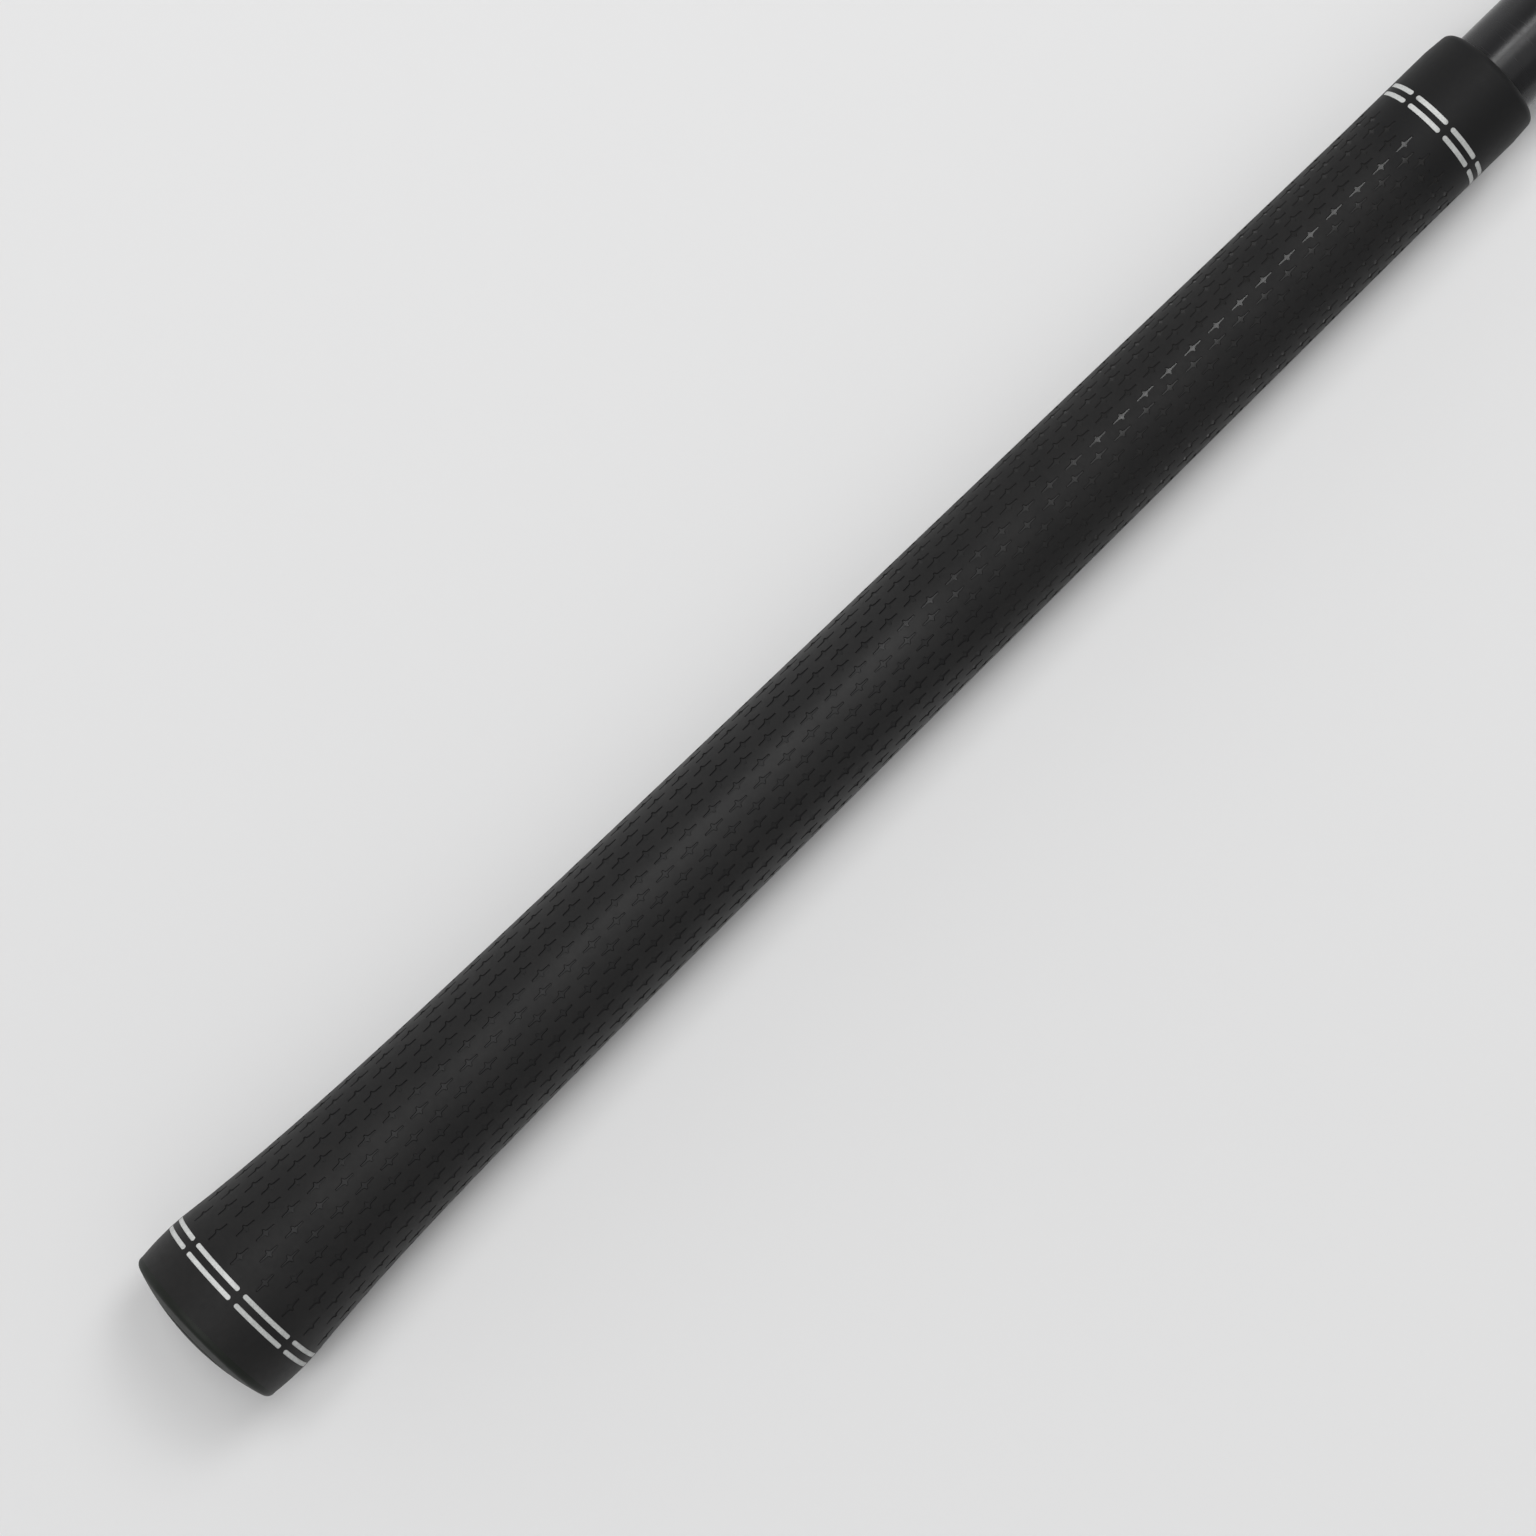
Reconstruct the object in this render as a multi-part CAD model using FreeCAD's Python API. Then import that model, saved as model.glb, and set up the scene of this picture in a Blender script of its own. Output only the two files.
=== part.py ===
import FreeCAD, Part
import math
import os

# A round moulded-rubber golf grip, fitted on the butt end of its club shaft.
#
# Frame: the grip lies along +X, from the butt at x = 0 to the mouth, with +Z up.
# The origin is on the axis, at the crown of the butt cap, where the vent hole opens.
# All sizes are in millimetres. Angles about the axis are in degrees: 0 is the top
# of the grip, and they grow by the right-hand rule about +X, towards -Y.

# ---------------------------------------------------------------- driving dimensions

# Whole grip
grip_length = 267.9          # crown of the cap to the mouth of a fitted 10.5 in grip
installed_twist = 6.0        # degrees that the mouth was turned against the butt in fitting

# Outside of the rubber
butt_radius = 13.9           # at both ends of the butt band, which carries the first rings
butt_bulge = 0.25            # how far the band swells between its ends
butt_band_length = 12.7      # from the crown of the cap to where the flare begins
body_radius = 11.5           # the straight taper, carried back to the end of the band
flare_decay = 23.0           # length in which the butt flare falls to about a third
flare_stations = 9           # steps between the points that carry this curve
station_crowding = 1.7       # above 1, the points crowd towards the butt, where it bends most
mouth_radius = 9.35          # parallel collar at the mouth
collar_length = 21.7
mouth_lip_length = 4.5       # the last stretch of the collar, which narrows a little
mouth_lip_drop = 0.25        # how much its radius falls
mouth_edge_radius = 1.2      # rounding of the mouth's outer edge

# Butt cap: a harder disc with a plug that is bonded into the end of the sleeve
cap_height = 3.1             # from the crown of the domed face to the end of its rounded edge
cap_edge_radius = 1.0
cap_land = 0.4               # straight stretch between the rounded edge and the seam
plug_radius = 10.6
plug_length = 2.6
vent_radius = 1.25           # air hole through the cap
face_ring_radius = 8.8       # shallow moulded ring groove round the vent
face_ring_width = 0.9
face_ring_depth = 0.3

# Dash rings: two at the butt and two at the mouth, moulded in and filled with paint
dashes_in_ring = 8
dash_depth = 0.35
paint_sink = 0.05            # how far the paint lies below the rubber
butt_dash_width = 0.8
butt_dash_gap = 1.0
butt_ring_pitch = 1.84
butt_ring_setback = 1.37     # from the end of the butt band to the nearer ring
mouth_dash_width = 0.82
mouth_dash_gap = 0.87
mouth_ring_pitch = 1.7
mouth_ring_setback = 11.64   # from the mouth to the nearer ring

# Club shaft, of which only the butt end belongs to this part
shaft_butt_radius = 7.62     # 0.600 in
shaft_stub_radius = 7.15     # at the mouth, and parallel from there on
shaft_wall = 1.4
stub_length = 40.0           # bare shaft beyond the mouth
stub_chamfer = 0.3

# Two-sided tape between the shaft and the rubber
tape_thickness = 0.25
tape_setback = 8.0           # the tape ends this far inside the mouth
tape_tail = 9.0              # tape tucked into the butt of the shaft

bond_gap = 0.02              # film of solvent and adhesive between fitted pieces

# ---------------------------------------------------------------- derived places

seam_x = cap_height + cap_land
plug_end_x = seam_x + plug_length
shaft_start_x = plug_end_x + bond_gap + tape_thickness
mouth_x = grip_length
collar_x = mouth_x - collar_length
lip_x = mouth_x - mouth_lip_length
lip_radius = mouth_radius - mouth_lip_drop
tape_end_x = mouth_x - tape_setback
shaft_end_x = mouth_x + stub_length

AXIS_POINT = FreeCAD.Vector(0, 0, 0)
AXIS = FreeCAD.Vector(1, 0, 0)


# ---------------------------------------------------------------- helpers

def at(x, radius):
    """A point of a turned profile: distance along the axis, and radius."""
    return FreeCAD.Vector(x, 0, radius)


def straight(*points):
    """Straight edges through the given profile points."""
    return [Part.makeLine(a, b) for a, b in zip(points, points[1:])]


def rounded(start, middle, end):
    """A circular edge through three profile points."""
    return [Part.Arc(start, middle, end).toShape()]


def turned(edges, sweep=360):
    """Turn a closed profile about the grip's axis into a solid."""
    return Part.Face(Part.Wire(edges)).revolve(AXIS_POINT, AXIS, sweep)


def ring(x_low, x_high, radius_low, radius_high, sweep=360):
    """A plain turned ring, or a sector of one that starts at the top."""
    low, high = at(x_low, radius_low), at(x_high, radius_high)
    return turned(straight(low, at(x_high, radius_low), high, at(x_low, radius_high), low), sweep)


def at_angle(shape, angle):
    """A copy of a shape, turned about the grip's axis."""
    copy = shape.copy()
    copy.rotate(AXIS_POINT, AXIS, angle)
    return copy


# ---------------------------------------------------------------- outside of the grip and shaft

def butt_band_radius(x):
    """Outside radius of the butt band, which swells in a flat arc between the seam and the flare."""
    half = (butt_band_length - seam_x) / 2
    swell = (half ** 2 + butt_bulge ** 2) / (2 * butt_bulge)
    off_middle = x - (seam_x + butt_band_length) / 2
    return butt_radius + butt_bulge - swell + math.sqrt(swell ** 2 - off_middle ** 2)


def body_profile_radius(x):
    """Outside radius between the butt band and the collar: a straight taper plus the flare."""
    share = (x - butt_band_length) / (collar_x - butt_band_length)
    taper = body_radius + (mouth_radius - body_radius) * share
    flare = (butt_radius - body_radius) * math.exp((butt_band_length - x) / flare_decay)
    flare_left = (butt_radius - body_radius) * math.exp((butt_band_length - collar_x) / flare_decay)
    return taper + flare - flare_left * share


def body_curve():
    """The outside curve, through stations that lie closer together where it flares."""
    points = []
    for station in range(flare_stations + 1):
        share = (station / flare_stations) ** station_crowding
        x = butt_band_length + share * (collar_x - butt_band_length)
        points.append(at(x, body_profile_radius(x)))
    curve = Part.BSplineCurve()
    curve.interpolate(points)
    return [curve.toShape()]


def shaft_radius(x):
    """Outside radius of the shaft, which tapers from its butt to the mouth of the grip."""
    share = (x - shaft_start_x) / (mouth_x - shaft_start_x)
    return shaft_butt_radius + (shaft_stub_radius - shaft_butt_radius) * share


# ---------------------------------------------------------------- dash rings

def dash(x, width, sweep, radius_low, radius_high):
    """One dash with round ends, between two radii; its ends are centred at angles 0 and sweep."""
    bar = ring(x - width / 2, x + width / 2, radius_low, radius_high, sweep)
    skin = ring(x - width, x + width, radius_low, radius_high)
    peg = Part.makeCylinder(width / 2, 2 * radius_high, at(x, 0), at(0, 1))
    end = skin.common(peg)
    return bar.fuse([end, at_angle(end, sweep)]).removeSplitter()


def dash_ring(place, radius_low, radius_high):
    """The separate dashes of one ring, with a gap between two of them at the ring's turn."""
    pitch = 360 / dashes_in_ring
    sweep = pitch - math.degrees((place["gap"] + place["width"]) / place["radius"])
    first = place["turn"] + (pitch - sweep) / 2
    one = dash(place["x"], place["width"], sweep, radius_low, radius_high)
    return [at_angle(one, first + number * pitch) for number in range(dashes_in_ring)]


def ring_places():
    """Where the four rings lie: the butt pair on its band and the mouth pair on its collar."""
    places = {}
    for name, number in (("inner", 0), ("outer", 1)):
        butt_ring_x = butt_band_length - butt_ring_setback - number * butt_ring_pitch
        places["butt_ring_" + name] = {
            "x": butt_ring_x, "radius": butt_band_radius(butt_ring_x),
            "width": butt_dash_width, "gap": butt_dash_gap, "turn": 0}
        places["mouth_ring_" + name] = {
            "x": mouth_x - mouth_ring_setback - (1 - number) * mouth_ring_pitch,
            "radius": mouth_radius, "width": mouth_dash_width, "gap": mouth_dash_gap,
            "turn": installed_twist}
    return places


def groove_cutters(place):
    """What the mould leaves open for one ring of dashes."""
    return dash_ring(place, place["radius"] - dash_depth, place["radius"] + dash_depth)


def ring_paint(place):
    """The paint in one ring of dashes."""
    return Part.makeCompound(dash_ring(place, place["radius"] - dash_depth, place["radius"] - paint_sink))


# ---------------------------------------------------------------- pieces

def grip_sleeve():
    """The rubber sleeve: the part that the hands hold."""
    bore_start = shaft_radius(plug_end_x) + tape_thickness + bond_gap
    bore_at_tape_end = shaft_radius(tape_end_x) + tape_thickness + bond_gap
    socket_radius = plug_radius + bond_gap
    socket_end_x = plug_end_x + bond_gap
    edge_x = mouth_x - mouth_edge_radius
    edge_r = lip_radius - mouth_edge_radius
    bend = mouth_edge_radius * math.sqrt(0.5)
    band_middle = (seam_x + butt_band_length) / 2
    outside = rounded(at(seam_x, butt_radius),
                      at(band_middle, butt_radius + butt_bulge),
                      at(butt_band_length, butt_radius))
    outside += body_curve()
    outside += straight(at(collar_x, mouth_radius), at(lip_x, mouth_radius), at(edge_x, lip_radius))
    outside += rounded(at(edge_x, lip_radius), at(edge_x + bend, edge_r + bend), at(mouth_x, edge_r))
    inside = straight(
        at(mouth_x, edge_r),
        at(mouth_x, shaft_radius(mouth_x) + bond_gap),
        at(tape_end_x + bond_gap, shaft_radius(tape_end_x) + bond_gap),
        at(tape_end_x + bond_gap, bore_at_tape_end),
        at(socket_end_x, bore_start),
        at(socket_end_x, socket_radius),
        at(seam_x, socket_radius),
        at(seam_x, butt_radius))
    sleeve = turned(outside + inside)
    for place in ring_places().values():
        sleeve = sleeve.cut(groove_cutters(place))
    return sleeve


def dome_radius():
    """Radius of the cap's domed face, which runs smoothly into its rounded edge."""
    edge_center = butt_radius - cap_edge_radius
    return ((cap_height ** 2 + edge_center ** 2 - cap_edge_radius ** 2)
            / (2 * (cap_height - cap_edge_radius)))


def dome_x(radius):
    """Place of the domed face at a distance from the axis."""
    return dome_radius() - math.sqrt(dome_radius() ** 2 - radius ** 2)


def butt_cap():
    """The closed end: a domed disc with a plug behind it and an air hole through it."""
    edge_center = butt_radius - cap_edge_radius
    meeting = math.atan2(edge_center, cap_height - dome_radius())
    middle = (meeting + math.pi / 2) / 2

    def on_edge(angle):
        return at(cap_height + cap_edge_radius * math.cos(angle),
                  edge_center + cap_edge_radius * math.sin(angle))

    dome_edge = on_edge(meeting)
    edges = rounded(at(0, 0), at(dome_x(dome_edge.z / 2), dome_edge.z / 2), dome_edge)
    edges += rounded(dome_edge, on_edge(middle), at(cap_height, butt_radius))
    edges += straight(
        at(cap_height, butt_radius),
        at(seam_x, butt_radius),
        at(seam_x, plug_radius),
        at(plug_end_x, plug_radius),
        at(plug_end_x, 0),
        at(0, 0))
    cap = turned(edges)
    vent = Part.makeCylinder(vent_radius, 2 * plug_end_x, at(-plug_end_x / 2, 0), AXIS)
    groove = ring(-cap_height, dome_x(face_ring_radius) + face_ring_depth,
                  face_ring_radius - face_ring_width / 2, face_ring_radius + face_ring_width / 2)
    return cap.cut(vent).cut(groove)


def club_shaft():
    """The butt end of the tubular shaft: tapered inside the grip, parallel beyond its mouth."""
    inner_butt = shaft_butt_radius - shaft_wall
    inner_stub = shaft_stub_radius - shaft_wall
    return turned(straight(
        at(shaft_start_x, inner_butt),
        at(shaft_start_x, shaft_butt_radius),
        at(mouth_x, shaft_stub_radius),
        at(shaft_end_x - stub_chamfer, shaft_stub_radius),
        at(shaft_end_x, shaft_stub_radius - stub_chamfer),
        at(shaft_end_x, inner_stub),
        at(mouth_x, inner_stub),
        at(shaft_start_x, inner_butt)))


def grip_tape():
    """The two-sided tape: round the shaft, over its butt end and tucked into its bore."""
    lap_x = shaft_start_x - tape_thickness
    tail_x = shaft_start_x + tape_tail
    taper = (shaft_butt_radius - shaft_stub_radius) / (mouth_x - shaft_start_x)
    bore_at_tail = shaft_butt_radius - shaft_wall - taper * tape_tail
    bore_at_butt = shaft_butt_radius - shaft_wall
    return turned(straight(
        at(lap_x, bore_at_butt - tape_thickness),
        at(lap_x, shaft_butt_radius + tape_thickness),
        at(tape_end_x, shaft_radius(tape_end_x) + tape_thickness),
        at(tape_end_x, shaft_radius(tape_end_x)),
        at(shaft_start_x, shaft_butt_radius),
        at(shaft_start_x, bore_at_butt),
        at(tail_x, bore_at_tail),
        at(tail_x, bore_at_tail - tape_thickness),
        at(lap_x, bore_at_butt - tape_thickness)))


# ---------------------------------------------------------------- output

def main():
    pieces = {
        "grip_sleeve": grip_sleeve(),
        "butt_cap": butt_cap(),
        "grip_tape": grip_tape(),
        "club_shaft": club_shaft(),
    }
    for name, place in ring_places().items():
        pieces[name + "_paint"] = ring_paint(place)
    os.makedirs("parts", exist_ok=True)
    for name, shape in pieces.items():
        shape.exportStep("parts/" + name + ".step")
        print(name, len(shape.Solids), "solids", round(shape.Volume, 1), "mm3", "valid:", shape.isValid())


main()
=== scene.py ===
import math

import bpy
from mathutils import Matrix, Vector


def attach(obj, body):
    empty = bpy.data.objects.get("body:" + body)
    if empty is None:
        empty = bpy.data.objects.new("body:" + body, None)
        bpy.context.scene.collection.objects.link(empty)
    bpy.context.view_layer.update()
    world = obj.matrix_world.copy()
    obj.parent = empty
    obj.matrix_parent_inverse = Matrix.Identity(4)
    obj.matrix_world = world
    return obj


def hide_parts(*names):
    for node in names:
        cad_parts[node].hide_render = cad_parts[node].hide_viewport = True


# The looks of a moulded-rubber golf grip on the butt end of its shaft.
#
# The grip lies along +X from the butt at x = 0 to the mouth, with +Z up and the origin on its
# axis. Angles round the axis are 0 at the top and grow towards -Y. The sleeve's pressed marks,
# the dash grooves and the paint are modelled flat, once each, repeated, and wrapped round.

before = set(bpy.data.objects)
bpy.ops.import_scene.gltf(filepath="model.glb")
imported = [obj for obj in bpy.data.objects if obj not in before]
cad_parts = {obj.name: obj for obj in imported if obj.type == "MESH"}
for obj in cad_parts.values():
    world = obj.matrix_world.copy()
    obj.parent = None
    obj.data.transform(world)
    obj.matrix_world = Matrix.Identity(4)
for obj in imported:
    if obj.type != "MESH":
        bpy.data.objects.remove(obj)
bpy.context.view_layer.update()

MM = 0.001

# ------------------------------------------------------------------------------ real sizes

GRIP_LENGTH = 267.9 * MM
SEAM_X = 3.5 * MM
BUTT_RADIUS = 13.9 * MM
BUTT_BULGE = 0.25 * MM
BUTT_BAND_END = 12.7 * MM
BODY_RADIUS = 11.5 * MM
FLARE_DECAY = 23.0 * MM
MOUTH_RADIUS = 9.35 * MM
COLLAR_X = 246.2 * MM
LIP_X = 263.4 * MM
LIP_RADIUS = 9.1 * MM
MOUTH_EDGE = 1.2 * MM
MOUTH_BORE_BREAK = (0.1 * MM, 0.12 * MM)
INSTALLED_TWIST = math.radians(6.0)

CAP_HEIGHT = 3.1 * MM
CAP_EDGE = 1.0 * MM
PLUG_RADIUS = 10.6 * MM
PLUG_END_X = 6.1 * MM
PLUG_BREAK = 0.2 * MM
VENT_RADIUS = 1.25 * MM
VENT_BREAK = 0.2 * MM
FACE_RING_RADIUS = 8.8 * MM
FACE_RING_WIDTH = 0.9 * MM
FACE_RING_DEPTH = 0.3 * MM
FACE_RING_BREAK = 0.12 * MM

SHAFT_START_X = 6.37 * MM
SHAFT_END_X = 307.9 * MM
SHAFT_BUTT_RADIUS = 7.62 * MM
SHAFT_STUB_RADIUS = 7.15 * MM
SHAFT_WALL = 1.4 * MM
SHAFT_BREAK = 0.1 * MM
SHAFT_END_BREAK = 0.3 * MM
TAPE_THICKNESS = 0.25 * MM
TAPE_END_X = 259.9 * MM
BOND_GAP = 0.02 * MM

DASH_DEPTH = 0.35 * MM
PAINT_SINK = 0.05 * MM
BUTT_DASH_WIDTH = 0.8 * MM
BUTT_DASH_GAP = 1.0 * MM
BUTT_RINGS = (9.49 * MM, 11.33 * MM)
MOUTH_DASH_WIDTH = 0.82 * MM
MOUTH_DASH_GAP = 0.87 * MM
MOUTH_RINGS = (254.56 * MM, 256.26 * MM)
DASHES_IN_RING = 8
DASH_ROUNDNESS = 0.98
GROOVE_END_STEPS = 4
PAINT_END_STEPS = 5
PAINT_EDGE = 0.07 * MM
BUTT_RINGS_START = BUTT_RINGS[0] - (BUTT_RINGS[1] - BUTT_RINGS[0]) / 2
MOUTH_RINGS_START = MOUTH_RINGS[0] - (MOUTH_RINGS[1] - MOUTH_RINGS[0]) / 2
MOUTH_RINGS_END = MOUTH_RINGS[1] + (MOUTH_RINGS[1] - MOUTH_RINGS[0]) / 2

# Pressed marks: two interleaved sets of rows, of which the second lags behind the first
FIRST_MARK_X = 14.7 * MM
MARK_PITCH = 4.967 * MM
PITCH_LOSS = 0.00151 * MM
MARKS_IN_ROW = 49
ROWS_IN_SET = 16
ROW_PITCH = math.radians(22.5)
FIRST_ROW = math.radians(-16.875)
ROW_LAG = 0.664
HALF_TILE = 1.1 * MM
MARK_DEPTH = 0.15 * MM
MARK_SLOPE = 0.075 * MM
STAR_QUADRANT = ((1.75, 0.145), (0.60, 0.19), (0.30, 0.29), (0.13, 0.67))
RIM_SEGMENTS = 64
FINE_SEGMENTS = 128
NEAR = 0.01 * MM
WELD = 0.0005 * MM
SLEEVE_WELD = 0.02 * MM

# Where the finish of the rubber changes along the grip: (from, to)
POLISH_STARTS = (25 * MM, 110 * MM)
POLISH_ENDS = (150 * MM, 164 * MM)
COLLAR_DULLS = (243 * MM, 252 * MM)
# painted light on the marks' floors rises between these places
MARK_FLOORS_PAINTED_LIGHT = (140 * MM, 190 * MM)
MARKS_BRIGHTEN = (173 * MM, 193 * MM)
SPARED_STARTS = (134 * MM, 144 * MM)
SPARED_ENDS = (153 * MM, 162 * MM)
# ... and across it, on the dashes, where painted shade makes the -Y side greyer
PAINT_SHADE_EDGE = (-0.3 * MM, 0.3 * MM)

# Floor, light and camera. A lamp has its lean in degrees along and across the grip, how many
# degrees wide it looks, and its strength.
FLOOR_SIZE = 6
FLOOR_MIDDLE = (0.13, 0, -BUTT_RADIUS - BUTT_BULGE)
FLOOR_TURN = math.radians(-46)
# Painted light on the floor: lighter towards the mouth end and the +Y side
FLOOR_PAINTED_LIGHT = (-60 * MM, 200 * MM)
SIDE_LIGHT = 0.9
CEILING_LIGHT = 0.23
LAMPS = (
    ("overhead_lamp", -33, 8, 19, 0.46),
    ("overhead_lamp", -19, 8, 19, 0.29),
    ("overhead_lamp", 5, 8, 19, 0.18),
    ("overhead_lamp", 28, 8, 19, 0.46),
    ("overhead_lamp", 38, 8, 19, 0.33),
    ("side_lamp", 3, 23, 12, 0.25),
    ("side_lamp", 13, 23, 12, 0.25),
    ("fill_lamp", 0, -15, 60, 0.30),
)
EYE = Vector((82.8, 1.27, 768.0)) * MM
EYE_TILT = math.radians(2.7)
EYE_ROLL = math.radians(44.22)
EYE_LENS = 122.2


# ------------------------------------------------------------------------------ shapes of the grip

def outside_radius(x):
    """Outside radius of the rubber at a place along the axis."""
    if x <= SEAM_X:
        return BUTT_RADIUS
    if x <= BUTT_BAND_END:
        half = (BUTT_BAND_END - SEAM_X) / 2
        swell = (half ** 2 + BUTT_BULGE ** 2) / (2 * BUTT_BULGE)
        off_middle = x - (SEAM_X + BUTT_BAND_END) / 2
        return BUTT_RADIUS + BUTT_BULGE - swell + math.sqrt(swell ** 2 - off_middle ** 2)
    if x >= LIP_X:
        share = min(1.0, (x - LIP_X) / (GRIP_LENGTH - MOUTH_EDGE - LIP_X))
        return MOUTH_RADIUS + (LIP_RADIUS - MOUTH_RADIUS) * share
    if x >= COLLAR_X:
        return MOUTH_RADIUS
    share = (x - BUTT_BAND_END) / (COLLAR_X - BUTT_BAND_END)
    taper = BODY_RADIUS + (MOUTH_RADIUS - BODY_RADIUS) * share
    flare = (BUTT_RADIUS - BODY_RADIUS) * math.exp((BUTT_BAND_END - x) / FLARE_DECAY)
    left = (BUTT_RADIUS - BODY_RADIUS) * math.exp((BUTT_BAND_END - COLLAR_X) / FLARE_DECAY)
    return taper + flare - left * share


def outside_slope(x):
    """How fast the outside radius changes."""
    step = 0.3 * MM
    before = max(SEAM_X, x - step)
    after = x + step
    return (outside_radius(after) - outside_radius(before)) / (after - before)


def shaft_radius(x):
    """Outside radius of the shaft, which tapers inside the grip."""
    share = (x - SHAFT_START_X) / (GRIP_LENGTH - SHAFT_START_X)
    return SHAFT_BUTT_RADIUS + (SHAFT_STUB_RADIUS - SHAFT_BUTT_RADIUS) * share


def mark_x(index):
    """Where the mark with this number lies; the marks crowd a little towards the mouth."""
    return FIRST_MARK_X + MARK_PITCH * index - PITCH_LOSS * index * index


PATTERN_START = mark_x(-0.5)
PATTERN_END = mark_x(MARKS_IN_ROW - 0.5)


def twist_at(x):
    """Turn of the rubber that came with pushing it on: none at the butt, all at the mouth."""
    share = (x - PATTERN_START) / (PATTERN_END - PATTERN_START)
    return INSTALLED_TWIST * min(1.0, max(0.0, share))


def round_point(x, angle, radius):
    """A point at an angle round the axis."""
    return Vector((x, -radius * math.sin(angle), radius * math.cos(angle)))


# ------------------------------------------------------------------------------ modelling helpers

def let_go():
    """Leave edit mode and select nothing."""
    if bpy.context.object and bpy.context.object.mode == "EDIT":
        bpy.ops.object.mode_set(mode="OBJECT")
    bpy.ops.object.select_all(action="DESELECT")


def take(piece):
    """Make one piece the only selected one."""
    let_go()
    piece.select_set(True)
    bpy.context.view_layer.objects.active = piece


def edit(select_mode="VERT"):
    """Enter edit mode on the piece in hand with nothing selected."""
    bpy.ops.object.mode_set(mode="EDIT")
    bpy.ops.mesh.select_mode(type=select_mode)
    bpy.ops.mesh.select_all(action="DESELECT")


def done():
    """Leave edit mode."""
    bpy.ops.object.mode_set(mode="OBJECT")


def name_piece(name):
    """Name the piece in hand and its mesh."""
    piece = bpy.context.object
    piece.name = name
    piece.data.name = name
    return piece


def pick_faces(piece, wanted):
    """Select the faces for which wanted(face) is true, from object mode."""
    for polygon in piece.data.polygons:
        polygon.select = wanted(polygon)
    for edge in piece.data.edges:
        edge.select = False
    for vertex in piece.data.vertices:
        vertex.select = False
    for polygon in piece.data.polygons:
        if polygon.select:
            for corner in polygon.vertices:
                piece.data.vertices[corner].select = True


def merge_all(distance=WELD):
    """Merge the doubles of the piece in hand and turn its faces outwards."""
    bpy.ops.object.mode_set(mode="EDIT")
    bpy.ops.mesh.select_all(action="SELECT")
    bpy.ops.mesh.remove_doubles(threshold=distance)
    bpy.ops.mesh.normals_make_consistent(inside=False)
    done()


def join_all(pieces, name):
    """Join pieces into one mesh."""
    take(pieces[0])
    for piece in pieces:
        piece.select_set(True)
    bpy.ops.object.join()
    return name_piece(name)


def rubber_finishes(piece):
    """Number 0 is the buffed outside, 1 what the mould left bright, 2 the marks' walls, darker with
    painted shade.
    """
    for finish in ("buffed_rubber", "moulded_rubber", "painted_shade_walls"):
        piece.data.materials.append(bpy.data.materials[finish])


def repeat(piece, count, step):
    """Repeat the piece in hand by an applied array of constant steps."""
    take(piece)
    rows = piece.modifiers.new("rows", "ARRAY")
    rows.count = count
    rows.use_relative_offset = False
    rows.use_constant_offset = True
    rows.constant_offset_displace = step
    bpy.ops.object.modifier_apply(modifier=rows.name)
    return piece


def turned(name, profile, steps=RIM_SEGMENTS, closed=False):
    """Trace a half section by extruding a point along it, then spin it round the grip's axis."""
    let_go()
    bpy.ops.mesh.primitive_plane_add(size=MM)
    piece = name_piece(name)
    edit()
    bpy.ops.mesh.select_all(action="SELECT")
    bpy.ops.mesh.merge(type="CENTER")
    bpy.ops.transform.translate(value=(profile[0][0], 0, profile[0][1]))
    for here, there in zip(profile, profile[1:]):
        step = (there[0] - here[0], 0, there[1] - here[1])
        bpy.ops.mesh.extrude_region_move(TRANSFORM_OT_translate={"value": step})
    bpy.ops.mesh.select_all(action="SELECT")
    if closed:
        done()
        ends = (0, len(piece.data.vertices) - 1)
        edit()
        done()
        for end in ends:
            piece.data.vertices[end].select = True
        bpy.ops.object.mode_set(mode="EDIT")
        bpy.ops.mesh.edge_face_add()
        bpy.ops.mesh.select_all(action="SELECT")
    bpy.ops.mesh.spin(steps=steps, angle=2 * math.pi, center=(0, 0, 0), axis=(1, 0, 0))
    done()
    merge_all()
    return piece


def arc(center, radius, start, end, steps):
    """Profile points on a circular edge, angles in degrees from +X."""
    points = []
    for number in range(steps + 1):
        angle = math.radians(start + (end - start) * number / steps)
        points.append((center[0] + radius * math.cos(angle), center[1] + radius * math.sin(angle)))
    return points


# ------------------------------------------------------------------------------ pressed marks

def star_outline():
    """The mark's outline, counterclockwise from the long arm along +X."""
    quadrant = [(x * MM, y * MM) for x, y in STAR_QUADRANT]
    mirrored = [(-x, y) for x, y in reversed(quadrant)]
    upper = quadrant + mirrored
    lower = [(-x, -y) for x, y in upper]
    return upper + lower


def tile_border(lag):
    """Border of one tile: its corners, its end middles and where the next rows' tiles meet it."""
    half = MARK_PITCH / 2
    meet = lag * MARK_PITCH
    return [(half, 0), (half, HALF_TILE), (meet, HALF_TILE), (-half, HALF_TILE),
            (-half, 0), (-half, -HALF_TILE), (meet, -HALF_TILE), (half, -HALF_TILE)]


def shape_circle(piece, outline, first):
    """Move the vertices of a fresh circle, from number first on, onto an outline."""
    points = piece.data.vertices[first:first + len(outline)]
    share = 2 * math.pi / len(outline)
    for vertex in points:
        turn = round(math.atan2(vertex.co.y, vertex.co.x) / share)
        place = outline[turn % len(outline)]
        vertex.co = (place[0], place[1], 0)


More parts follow.
